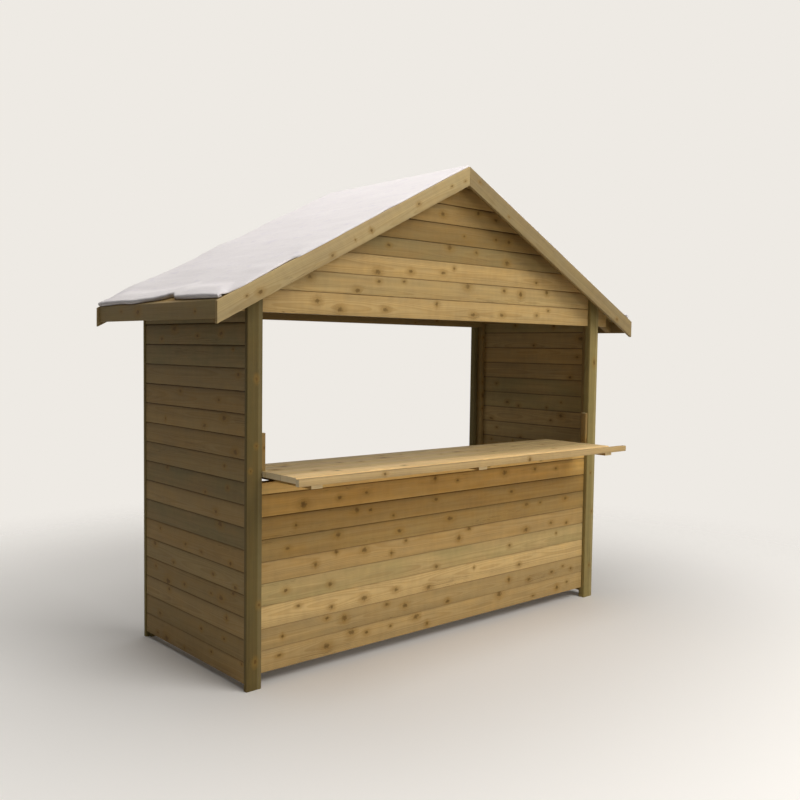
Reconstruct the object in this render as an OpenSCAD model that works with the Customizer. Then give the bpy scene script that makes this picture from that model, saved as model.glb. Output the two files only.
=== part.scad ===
// Wooden market hut: a boarded stall with a serving front, an open back and a
// gabled roof under a laid white fleece. Millimetres, +Z up, the front looks to -Y.
// The origin is on the floor, under the middle of the whole outline.

/* [Body] */
// Width over the corner posts
body_w = 2870; // [2400:10:3400]
// Depth from the front boards' face to the rear boards' face
body_d = 1110; // [900:10:1600]
// Height of the front gable boards' lower edge
head_z = 1928; // [1850:2:2100]

/* [Posts] */
// Width of a corner post, seen from the front
post_w = 90; // [70:5:120]
// Thickness of a corner post, front to back
post_t = 45; // [40:1:60]

/* [Cladding] */
// Visible height of one board
board_cover = 115; // [95:1:145]
// Thickness of a board
board_t = 20; // [16:1:28]
// Depth of the scooped upper edge of a board
scoop_d = 8; // [4:1:10]
// Height of the scooped upper edge of a board
scoop_h = 14; // [8:1:20]
// Gap between the floor and the front boards
front_gap = 70; // [20:5:120]
// Gap between the floor and the side boards
side_gap = 35; // [20:5:120]
// How far the lowest gable board runs out past a post
gable_ear = 125; // [60:5:170]

/* [Counter] */
// Height of the counter's top
counter_z = 1122; // [1000:2:1200]
// Thickness of a counter plank
counter_t = 30; // [24:1:40]
// Width of a counter plank
plank_w = 136; // [120:2:160]
// Number of counter planks
plank_n = 4; // [4:1:5]
// How far the counter stands out from the front boards
counter_out = 345; // [250:5:400]
// How far the planks stop short of the right-hand post
counter_short = 155; // [30:5:200]

/* [Roof] */
// Slope of the roof, in degrees
pitch = 27.1; // [22:0.1:32]
// Height of the barge boards' top at the ridge
ridge_z = 2820; // [2760:5:3000]
// Half the length of the gable, from the ridge to the cut of a barge board
eave_x = 1670; // [1660:5:1760]
// How far the roof stands out from the front and rear boards
roof_over = 140; // [100:5:200]
// Width of the barge boards and fascias
trim_w = 97; // [90:1:120]
// Thickness of the barge boards and fascias
trim_t = 20; // [16:1:25]
// Thickness of the roof boards
roof_t = 18; // [15:1:22]
// Visible width of one roof board, seen from below
roof_cover = 115; // [95:1:145]
// Depth of a rafter
rafter_d = 63; // [50:1:75]

/* [Fleece] */
// Thickness of the white fleece laid on the roof
fleece_t = 14; // [8:1:25]
// Bare strip that the fleece leaves along the eaves
fleece_gap = 12; // [0:1:60]

/* [Hidden] */

pine = "#b79a62";        // fresh treated softwood
pine_shade = "#8f7a4a";  // inside timber
counter_pine = "#cdb178";
fleece_white = "#ece9ee";

slope = tan(pitch);
lean = 1 / cos(pitch);             // vertical height of a unit of sloping thickness
trim_h = trim_w * lean;            // barge board, measured plumb
roof_h = roof_t * lean;            // roof boards, measured plumb
rafter_h = rafter_d * lean;        // rafter, measured plumb
fleece_h = fleece_t * lean;        // fleece, measured plumb

batten_t = 34;                     // inner battens of the side walls
batten_w = 45;                     // studs, rails, ties and rafters, across
rail_h = 70;                       // top rails of the side walls
ridge_t = 28;                      // ridge board
ridge_h = 120;
lap_w = 3;                         // open joint between two boards, on the inner side
lap_d = 5;
vee_w = 9;                         // joint between two roof boards, on the underside
vee_d = 5;
edge_w = 28;                       // batten along the counter's front
edge_h = 36;
edge_drop = 6;                     // its top lies this far below the planks' top
cleat_w = 70;                      // battens under the counter
cleat_t = 34;
cleat_inset = 10;                  // a cleat's end behind the counter's rear edge
cleat_in = 129;                    // left-hand cleat's middle from the post
cleat_out = 30;                    // right-hand cleat past the planks' end
stop_w = 22;                       // short battens beside the posts
stop_h = 194;
stop_inset = 5;
counter_play = 2;                  // gap between the counter's end and a post
nosing_r = 5;                      // rounded edges of a counter plank

post_out = body_w / 2;             // outer side of a post
post_in = post_out - post_w;       // inner side of a post
wall_out = post_out - 5;           // outer face of the side boards
wall_in = wall_out - board_t;      // inner face of the side boards
frame_in = wall_in - batten_t;     // inner face of the side battens
proud = post_t - board_t;          // how far a post stands out from the boards

whole_d = counter_out + body_d + roof_over;
front_y = counter_out - whole_d / 2;      // face of the front boards
rear_y = front_y + body_d;                // face of the rear boards
front_back = front_y + board_t;           // back of the front boards
rear_back = rear_y - board_t;             // inner face of the rear boards
roof_front = front_y - roof_over;
roof_rear = rear_y + roof_over;

fascia_out = eave_x - 10;                 // outer face of a fascia
fascia_in = fascia_out - trim_t;          // inner face of a fascia
seat_z = roof_z(frame_in) - roof_h - rafter_h;   // top of the side walls
counter_low = counter_z - counter_t;             // underside of the counter planks
panel_top = counter_low - cleat_t;               // top of the front panel
counter_y = front_y - counter_out;               // front of the counter
plank_y = counter_y + edge_w;                    // front of the first plank
counter_left = -post_in + counter_play;          // ends of the planks
counter_right = post_in - counter_short - counter_play;
cleat_left = -post_in + cleat_in;                // middles of the outer cleats
cleat_right = counter_right + cleat_out - cleat_w / 2;
cleat_middle = (cleat_left + counter_right - cleat_w / 2) / 2;

// Height of the roof's upper plane at a distance x from the ridge
function roof_z(x) = ridge_z - slope * x;

// Point of an arc of a board's scoop, t from 0 to 1 up the scoop
function scoop(t) = [scoop_d * (1 - cos(90 * t)), scoop_h * sin(90 * t)];

// Front outline of one board from its lower edge, as [depth, height] points
function board_front(z, top) =
    let(flat = z + board_cover - scoop_h)
    flat >= top
        ? [[0, z], [0, top]]
        : concat([[0, z], [0, flat]],
                 [for (t = [0.25 : 0.25 : 1]) let(p = scoop(t)) if (flat + p[1] < top) [p[0], flat + p[1]]]);

// Inner side of the joint at height z, as a shallow slot drawn downwards
function board_lap(z) =
    let(in = board_t - lap_d, half = lap_w / 2)
    [[board_t, z + half], [in, z + half], [in, z - half], [board_t, z - half]];

// Cross-section of a wall of boards from z0 to z1: depth to +X, height to +Y
module cladding_section(z0, z1) {
    rows = ceil((z1 - z0) / board_cover);
    front = [for (i = [0 : rows - 1]) each board_front(z0 + i * board_cover, z1)];
    last = front[len(front) - 1];
    top = last[1] < z1 ? [[last[0], z1]] : [];
    joints = [for (i = [rows - 1 : -1 : 1]) let(z = z0 + i * board_cover) if (z + lap_w < z1) z];
    back = [for (z = joints) each board_lap(z)];
    polygon(concat(front, top, [[board_t, z1]], back, [[board_t, z0]]));
}

// Draws an [x, z] outline as a solid from y0 to y1
module along_y(y0, y1) {
    translate([0, y1, 0])
        rotate([90, 0, 0])
            linear_extrude(y1 - y0)
                children();
}

// Draws a [y, z] outline as a solid from x0 to x1
module along_x(x0, x1) {
    translate([x0, 0, 0])
        rotate([90, 0, 90])
            linear_extrude(x1 - x0)
                children();
}

// Box between two corners
module block(lo, hi) {
    translate(lo)
        cube(hi - lo);
}

// Copies what follows to both sides of the ridge
module both_sides() {
    children();
    mirror([1, 0, 0])
        children();
}

// Turns a piece of the front into the same piece of the rear
module to_rear() {
    translate([0, front_y + rear_y, 0])
        mirror([0, 1, 0])
            children();
}

// Right-hand corner post of the front: rebated for the ends of the side boards, and
// its upper part planed thinner, where the gable boards pass behind it
module corner_post() {
    top = function(x) roof_z(x) - roof_h;
    difference() {
        along_y(front_y - proud, front_back)
            polygon([[post_in, 0], [post_out, 0], [post_out, top(post_out)], [post_in, top(post_in)]]);
        block([wall_in, front_y, -1], [post_out + 1, front_back + 1, ridge_z]);
        block([post_in - 1, front_y, head_z], [post_out + 1, front_back + 1, ridge_z]);
    }
}

module front_left_post() {
    color(pine)
        mirror([1, 0, 0])
            corner_post();
}

module front_right_post() {
    color(pine)
        corner_post();
}

module rear_left_post() {
    color(pine)
        to_rear()
            mirror([1, 0, 0])
                corner_post();
}

module rear_right_post() {
    color(pine)
        to_rear()
            corner_post();
}

// Lower front: boards between the posts on a frame of rails and studs
module front_panel_boards() {
    color(pine)
        along_x(-post_in, post_in)
            translate([front_y, 0])
                cladding_section(front_gap, panel_top);
}

module front_panel_top_rail() {
    color(pine_shade)
        block([-post_in, front_back, panel_top - batten_w], [post_in, front_back + batten_w, panel_top]);
}

module front_panel_bottom_rail() {
    color(pine_shade)
        block([-post_in, front_back, front_gap], [post_in, front_back + batten_w, front_gap + batten_w]);
}

module front_panel_studs() {
    lo = front_gap + batten_w;
    hi = panel_top - batten_w;
    color(pine_shade)
        for (x = [-post_in, -batten_w / 2, post_in - batten_w])
            block([x, front_back, lo], [x + batten_w, front_back + batten_w, hi]);
}

// Counter of planks with rounded edges, carried by three cleats on the front panel
module counter_top() {
    color(counter_pine)
        along_x(counter_left, counter_right)
            for (i = [0 : plank_n - 1])
                translate([plank_y + i * plank_w, counter_low])
                    plank_section(plank_w, counter_t, nosing_r);
}

// Batten nailed along the planks' front edge, from post to post
module counter_front_edge() {
    color(counter_pine)
        along_x(-post_in + counter_play, post_in - counter_play)
            translate([counter_y, counter_z - edge_drop - edge_h])
                plank_section(edge_w, edge_h, nosing_r);
}

// Cross-section of a plank whose two upper edges are rounded off
module plank_section(w, t, r) {
    square([w, t - r]);
    translate([r, 0])
        square([w - 2 * r, t]);
    for (y = [r, w - r])
        translate([y, t - r])
            circle(r, $fn = 24);
}

module counter_cleat(x) {
    rear = plank_y + plank_n * plank_w - cleat_inset;
    color(pine)
        block([x - cleat_w / 2, plank_y, panel_top], [x + cleat_w / 2, rear, counter_low]);
}

module counter_cleat_left() {
    counter_cleat(cleat_left);
}

module counter_cleat_middle() {
    counter_cleat(cleat_middle);
}

module counter_cleat_right() {
    counter_cleat(cleat_right);
}

// Short batten nailed beside the right-hand post, from a height z up
module counter_stop(z) {
    color(pine)
        block([post_in - stop_w, front_y - proud + stop_inset, z],
              [post_in, front_back, counter_z + stop_h]);
}

// The left-hand one holds the planks down, the right-hand one stands on the front panel
module counter_stop_left() {
    mirror([1, 0, 0])
        counter_stop(counter_z);
}

module counter_stop_right() {
    counter_stop(panel_top);
}

// Side walls: boards from rebate to rebate, nailed to inner battens; the upper ones stop
// at the gables
module wall_boards() {
    color(pine)
        difference() {
            along_y(front_y, rear_y)
                translate([wall_out, 0])
                    mirror([1, 0])
                        cladding_section(side_gap, seat_z);
            for (y = [front_y - 1, rear_back])
                block([wall_in - 1, y, head_z], [wall_out + 1, y + board_t + 1, ridge_z]);
        }
}

module wall_rail(z0, z1) {
    color(pine_shade)
        block([frame_in, front_back, z0], [wall_in, rear_back, z1]);
}

module wall_battens() {
    z0 = side_gap + batten_w;
    z1 = seat_z - rail_h;
    color(pine_shade)
        for (y = [front_back, rear_back - batten_w])
            block([frame_in, y, z0], [wall_in, y + batten_w, z1]);
}

module left_wall_boards() {
    mirror([1, 0, 0])
        wall_boards();
}

module left_wall_top_rail() {
    mirror([1, 0, 0])
        wall_rail(seat_z - rail_h, seat_z);
}

module left_wall_bottom_rail() {
    mirror([1, 0, 0])
        wall_rail(side_gap, side_gap + batten_w);
}

module left_wall_battens() {
    mirror([1, 0, 0])
        wall_battens();
}

module right_wall_boards() {
    wall_boards();
}

module right_wall_top_rail() {
    wall_rail(seat_z - rail_h, seat_z);
}

module right_wall_bottom_rail() {
    wall_rail(side_gap, side_gap + batten_w);
}

module right_wall_battens() {
    wall_battens();
}

// Gable: boards cut to the underside of the roof, their ends plumb outside the posts
module gable_boards() {
    ear = post_out + gable_ear;
    color(pine)
        intersection() {
            along_x(-ear, ear)
                translate([front_y, 0])
                    cladding_section(head_z, ridge_z);
            along_y(front_y - 1, front_back + 1)
                polygon([[-ear, head_z], [ear, head_z], [ear, roof_z(ear) - roof_h],
                         [0, ridge_z - roof_h], [-ear, roof_z(ear) - roof_h]]);
        }
}

module front_gable_boards() {
    gable_boards();
}

module rear_gable_boards() {
    to_rear()
        gable_boards();
}

// Tie that backs the lowest gable board, from wall rail to wall rail
module tie() {
    color(pine_shade)
        block([-frame_in, front_back, head_z], [frame_in, front_back + batten_w, seat_z]);
}

module front_tie() {
    tie();
}

module rear_tie() {
    to_rear()
        tie();
}

// Pair of rafters from y0: plumb cuts at the ridge and the fascia, a birdsmouth on the wall
module rafter_pair(y0) {
    top = function(x) roof_z(x) - roof_h;
    low = function(x) top(x) - rafter_h;
    head = ridge_t / 2;
    color(pine_shade)
        both_sides()
            along_y(y0, y0 + batten_w)
                polygon([[head, top(head)], [fascia_in, top(fascia_in)], [fascia_in, low(fascia_in)],
                         [wall_out, low(wall_out)], [wall_out, seat_z], [frame_in, seat_z],
                         [head, low(head)]]);
}

module front_rafters() {
    rafter_pair(front_back);
}

module middle_rafters() {
    rafter_pair((front_y + rear_y - batten_w) / 2);
}

module rear_rafters() {
    rafter_pair(rear_back - batten_w);
}

// Ridge board between the rafters' heads, its top bevelled to the roof boards
module ridge_board() {
    half = ridge_t / 2;
    side = roof_z(half) - roof_h;
    color(pine_shade)
        along_y(front_back, rear_back)
            polygon([[-half, ridge_z - ridge_h], [half, ridge_z - ridge_h], [half, side],
                     [0, ridge_z - roof_h], [-half, side]]);
}

// Underside of the roof boards with a V at each joint, as points from the eaves up
function roof_underside() =
    let(step = roof_cover * cos(pitch), half = vee_w / 2)
    [for (i = [floor((fascia_in - vee_w) / step) : -1 : 1], p = [[half, 0], [0, vee_d], [-half, 0]])
        let(x = i * step + p[0])
        [x, roof_z(x) - roof_h + p[1]]];

// Roof boards of one slope, from the ridge to the fascia and from barge to barge
module roof_boards() {
    color(pine)
        along_y(roof_front + trim_t, roof_rear - trim_t)
            polygon(concat([[0, ridge_z], [fascia_in, roof_z(fascia_in)],
                            [fascia_in, roof_z(fascia_in) - roof_h]],
                           roof_underside(), [[0, ridge_z - roof_h]]));
}

module left_roof_boards() {
    mirror([1, 0, 0])
        roof_boards();
}

module right_roof_boards() {
    roof_boards();
}

// Eaves fascia, level with the roof boards it closes
module fascia() {
    color(pine)
        along_y(roof_front + trim_t, roof_rear - trim_t)
            polygon([[fascia_in, roof_z(fascia_in) - trim_w], [fascia_out, roof_z(fascia_in) - trim_w],
                     [fascia_out, roof_z(fascia_out)], [fascia_in, roof_z(fascia_in)]]);
}

module left_fascia() {
    mirror([1, 0, 0])
        fascia();
}

module right_fascia() {
    fascia();
}

// Barge board on the front end of one slope, mitred at the ridge and cut plumb at the eaves
module barge() {
    color(pine)
        along_y(roof_front, roof_front + trim_t)
            polygon([[0, ridge_z], [eave_x, roof_z(eave_x)], [eave_x, roof_z(eave_x) - trim_h],
                     [0, ridge_z - trim_h]]);
}

module front_left_barge() {
    mirror([1, 0, 0])
        barge();
}

module front_right_barge() {
    barge();
}

module rear_left_barge() {
    to_rear()
        mirror([1, 0, 0])
            barge();
}

module rear_right_barge() {
    to_rear()
        barge();
}

// Fleece on one slope, from the ridge to near the eaves, over the barge boards' tops
module fleece() {
    edge = fascia_out - fleece_gap;
    color(fleece_white)
        along_y(roof_front, roof_rear)
            polygon([[0, ridge_z], [edge, roof_z(edge)], [edge, roof_z(edge) + fleece_h],
                     [0, ridge_z + fleece_h]]);
}

module left_fleece() {
    mirror([1, 0, 0])
        fleece();
}

module right_fleece() {
    fleece();
}

front_left_post();
front_right_post();
rear_left_post();
rear_right_post();
front_panel_boards();
front_panel_top_rail();
front_panel_bottom_rail();
front_panel_studs();
counter_top();
counter_front_edge();
counter_cleat_left();
counter_cleat_middle();
counter_cleat_right();
counter_stop_left();
counter_stop_right();
left_wall_boards();
left_wall_top_rail();
left_wall_bottom_rail();
left_wall_battens();
right_wall_boards();
right_wall_top_rail();
right_wall_bottom_rail();
right_wall_battens();
front_gable_boards();
rear_gable_boards();
front_tie();
rear_tie();
front_rafters();
middle_rafters();
rear_rafters();
ridge_board();
left_roof_boards();
right_roof_boards();
left_fascia();
right_fascia();
front_left_barge();
front_right_barge();
rear_left_barge();
rear_right_barge();
left_fleece();
right_fleece();
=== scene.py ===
import math
import random

import bpy
import numpy as np
from mathutils import Matrix, Vector, noise


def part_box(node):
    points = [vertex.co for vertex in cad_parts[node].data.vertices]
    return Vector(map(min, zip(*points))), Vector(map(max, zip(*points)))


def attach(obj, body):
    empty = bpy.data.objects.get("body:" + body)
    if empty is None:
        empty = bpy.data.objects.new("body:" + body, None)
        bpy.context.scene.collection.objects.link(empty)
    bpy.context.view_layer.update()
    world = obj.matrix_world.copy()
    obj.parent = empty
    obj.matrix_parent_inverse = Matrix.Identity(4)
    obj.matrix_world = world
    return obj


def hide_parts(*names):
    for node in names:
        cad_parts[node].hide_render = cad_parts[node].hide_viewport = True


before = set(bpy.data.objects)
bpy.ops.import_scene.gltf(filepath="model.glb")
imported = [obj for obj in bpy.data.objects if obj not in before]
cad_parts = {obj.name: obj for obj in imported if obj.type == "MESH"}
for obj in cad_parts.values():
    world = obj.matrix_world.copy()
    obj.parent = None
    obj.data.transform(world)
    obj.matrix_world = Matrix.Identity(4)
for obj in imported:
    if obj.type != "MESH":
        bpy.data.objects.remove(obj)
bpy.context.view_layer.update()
print("frame loaded:", len(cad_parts), "nodes")


# Shader maths: an expression on values adds its nodes
def isVector(term):
    return isinstance(term, tuple) or (isinstance(term, Value) and term.socket.type != "VALUE")


class Value:
    def __init__(self, graph, socket):
        self.graph = graph
        self.socket = socket

    def maths(self, operation, *terms):
        # a colour or a vector needs the Vector Math node, because a Math node turns it grey
        kind = "ShaderNodeVectorMath" if any(isVector(term) for term in terms) else "ShaderNodeMath"
        return self.graph.node(kind, {"operation": operation}, dict(enumerate(terms)))

    def __add__(self, other):
        return self.maths("ADD", self, other)

    def __radd__(self, other):
        return self.maths("ADD", other, self)

    def __sub__(self, other):
        return self.maths("SUBTRACT", self, other)

    def __rsub__(self, other):
        return self.maths("SUBTRACT", other, self)

    def __mul__(self, other):
        return self.maths("MULTIPLY", self, other)

    def __rmul__(self, other):
        return self.maths("MULTIPLY", other, self)

    def __truediv__(self, other):
        return self.maths("DIVIDE", self, other)

    def __rtruediv__(self, other):
        return self.maths("DIVIDE", other, self)

    def __pow__(self, other):
        return self.maths("POWER", self, other)

    def __rpow__(self, other):
        return self.maths("POWER", other, self)

    def __abs__(self):
        return self.maths("ABSOLUTE", self)


class Graph:
    # the nodes of one material, or of the world
    def __init__(self, owner):
        owner.use_nodes = True
        self.owner = owner
        self.tree = owner.node_tree
        self.tree.nodes.clear()

    def node(self, kind, settings=None, sockets=None, out=0):
        made = self.tree.nodes.new(kind)
        for key, value in (settings or {}).items():
            setattr(made, key, value)
        for key, value in (sockets or {}).items():
            self.feed(made.inputs[key], value)
        return Value(self, made.outputs[out]) if len(made.outputs) else None

    def feed(self, target, value):
        if isinstance(value, Value):
            self.tree.links.new(value.socket, target)
        elif target.type == "RGBA":
            target.default_value = (*value[:3], 1.0)
        elif target.type == "VECTOR" and not isinstance(value, (tuple, list)):
            target.default_value = (value, value, value)
        else:
            target.default_value = value

    def attribute(self, name):
        return self.node("ShaderNodeAttribute", {"attribute_name": name}, out="Vector")

    def place(self):
        return self.node("ShaderNodeTexCoord", out="Object")

    def split(self, vector):
        first = self.node("ShaderNodeSeparateXYZ", {}, {0: vector})
        return [Value(self, socket) for socket in first.socket.node.outputs]

    def vector(self, x, y, z):
        return self.node("ShaderNodeCombineXYZ", {}, {0: x, 1: y, 2: z})

    def length(self, vector):
        return self.node("ShaderNodeVectorMath", {"operation": "LENGTH"}, {0: vector}, out="Value")

    def fraction(self, value):
        return self.node("ShaderNodeMath", {"operation": "FRACT"}, {0: value})

    def noise(self, vector, scale, detail=2.0, rough=0.5):
        return self.node("ShaderNodeTexNoise", {"noise_dimensions": "3D"},
                         {"Vector": vector, "Scale": scale, "Detail": detail, "Roughness": rough})

    def soft(self, value, begin, stop):
        # 0 below begin, 1 above stop and smooth between them
        return self.node("ShaderNodeMapRange", {"interpolation_type": "SMOOTHSTEP"},
                         {"Value": value, "From Min": begin, "From Max": stop})

    def mix(self, amount, first, second):
        return self.node("ShaderNodeMix", {"data_type": "RGBA"}, {0: amount, 6: first, 7: second}, out=2)

    def bump(self, height, strength, distance):
        return self.node("ShaderNodeBump", {},
                         {"Height": height, "Strength": strength, "Distance": distance})

    def finish(self, sockets):
        shader = self.node("ShaderNodeBsdfPrincipled", {}, sockets)
        self.node("ShaderNodeOutputMaterial", {}, {"Surface": shader})
        return self.owner


def seen(red, green, blue):
    # a colour as the eye reads it, 0 to 255, in the linear numbers that a shader takes
    parts = [c / 255 for c in (red, green, blue)]
    return tuple(c / 12.92 if c <= 0.04045 else ((c + 0.055) / 1.055) ** 2.4 for c in parts)


# Timber finishes: each board brings its own grain, knot, heart and tint; tints also hold painted light and
# shade
# the end colours are sawn end grain, on frame timber and counter planks also painted light
pineLooks = {
    "cladding": {"pale": seen(188, 158, 105), "ring": seen(148, 111, 56), "green": seen(142, 126, 80),
                 "gold": seen(176, 131, 58), "end": seen(150, 120, 72), "rings": 230, "streak": 0.34,
                 "rough": 0.66, "relief": 0.5},
    "post_timber": {"pale": seen(146, 127, 78), "ring": seen(114, 94, 48), "green": seen(106, 98, 50),
                    "gold": seen(138, 108, 48), "end": seen(122, 100, 58), "rings": 300, "streak": 0.38,
                    "rough": 0.68, "relief": 0.6},
    "frame_timber": {"pale": seen(150, 122, 74), "ring": seen(118, 87, 42), "green": seen(108, 96, 54),
                     "gold": seen(140, 105, 48), "end": seen(244, 220, 168), "rings": 280, "streak": 0.34,
                     "rough": 0.7, "relief": 0.8},
    "counter_planks": {"pale": seen(200, 171, 122), "ring": seen(166, 131, 80), "green": seen(156, 140, 94),
                       "gold": seen(192, 151, 86), "end": seen(248, 228, 186), "rings": 210, "streak": 0.38,
                       "rough": 0.6, "relief": 0.4},
    "trim_boards": {"pale": seen(180, 156, 112), "ring": seen(148, 120, 72), "green": seen(134, 122, 76),
                    "gold": seen(166, 130, 68), "end": seen(156, 128, 80), "rings": 240, "streak": 0.32,
                    "rough": 0.64, "relief": 0.5},
    "roof_boards": {"pale": seen(158, 130, 80), "ring": seen(124, 93, 46), "green": seen(112, 100, 56),
                    "gold": seen(146, 110, 50), "end": seen(140, 112, 64), "rings": 260, "streak": 0.34,
                    "rough": 0.68, "relief": 0.7},
}
# Besides knots and splits: a dark colour for painted shade in the cladding's joints, and a pale one for a
# painted highlight on posts
pineMarks = {"halo": seen(140, 104, 40), "core": seen(92, 62, 16), "bark": seen(64, 42, 10),
             "split": seen(84, 60, 30), "edgeHighlight": seen(186, 168, 118), "joint": seen(76, 52, 18)}

# Patterns that all the pine shares: scale along and across the grain, detail, roughness
pinePatterns = {"wander": (0.72, 4.0, 2, 0.5), "streak": (0.7, 38, 4, 0.62), "blotch": (3.6, 9, 3, 0.55),
                "cloud": (4.6, 15, 3, 0.6), "hair": (14, 620, 2, 0.5), "figure": (26, 7, 2, 0.5),
                "split": (3.2, 105, 1, 0.5)}
# How strongly they colour the wood, and how strongly they raise it
pineMix = {"ring": 0.34, "gold": 0.6, "goldCloud": 1.3, "leastGreen": 0.12, "greenBlotch": (0.1, 0.8),
           "edgeHighlight": 0.3, "edgeHighlightSoft": 0.0015, "blotch": 0.45, "cloud": 0.3, "hair": 0.12, "figure": 0.2,
           "bright": 0.3, "sheen": 0.16, "specular": 0.22, "split": 0.5, "sawnEnd": 0.7}
pineRelief = {"hair": 0.35, "streak": 0.5, "ring": 0.3, "split": 0.9, "knot": 0.5, "tall": 0.0009}
# Growth rings: how far they wander, and the shares of a ring where it turns dark and pale again
ringShape = {"wander": 0.05, "dark": (0.25, 0.88), "pale": (0.92, 1.0)}
# Knots: "long" and "wide" say how the reach grows along and across the grain, and what chance adds. The
# other pairs are where a form begins and ends, in knot sizes, but "smearWide" is in metres, "smeared"
# chooses the knots that are smeared, "eye" the dark fibres, and "solid" is how dark a core is
knotShape = {"fibre": 130, "uneven": 62, "ragged": 0.9, "lobed": 1.6, "scatter": 7.31, "long": (0.6, 0.14),
             "wide": (1.04, -0.16), "parting": 0.14, "bend": 0.7, "core": (0.35, 1.5), "rim": (0.2, 0.9),
             "eye": (0.48, 0.66), "eyeMix": 0.6, "solid": (0.3, 0.7), "halo": (0.7, 4.4), "haloMix": 0.5,
             "smear": (0.2, 1.5), "smearRagged": 1.2, "smearMix": 0.22, "smearWide": (0.008, 0.045),
             "smeared": (0.74, 0.9)}
# Splits: where they lie, and how wide they are
splitShape = {"place": (1.3, 12, 3), "spread": (0.6, 0.7), "wide": 0.02}
# Painted shade at the cladding's joints, across a board from its middle or inwards from its face, in metres
jointShape = {"scoop": (0.03, 0.036), "begin": (0.0002, 0.0045), "end": (0.0095, 0.012),
              "faceShade": (0.024, 0.052), "faceShadeRagged": 0.05, "faceShadeMix": 0.24, "back": (0.0125, 0.0145),
              "backTop": (0.0605, 0.065), "backFoot": (-0.0475, -0.043), "backMix": 0.75}
sawnEnd = 99.0  # a knot this far along a board marks its sawn end
noBand = 9.0  # the mark of a board that has no band along it


def paintJointShade(g, wood, across, deep, blotch, mark):
    # painted shade in the scoop under the next board's lip, and on the face beside it
    j = jointShape
    depth = 0 - deep
    fade = 1 - g.soft(depth, *j["end"])
    scoop = g.soft(across, *j["scoop"]) * g.soft(depth, *j["begin"]) * fade
    faceShade = g.soft(across + (blotch - 0.5) * j["faceShadeRagged"], *j["faceShade"]) * fade
    wood = wood * (1 - faceShade * mark * j["faceShadeMix"])
    # painted shade along the joints on the inner side
    seam = 1 + g.soft(across, *j["backTop"]) - g.soft(across, *j["backFoot"])
    behind = g.soft(depth, *j["back"]) * seam
    return g.mix(scoop * mark + behind * j["backMix"], wood, pineMarks["joint"])


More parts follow.
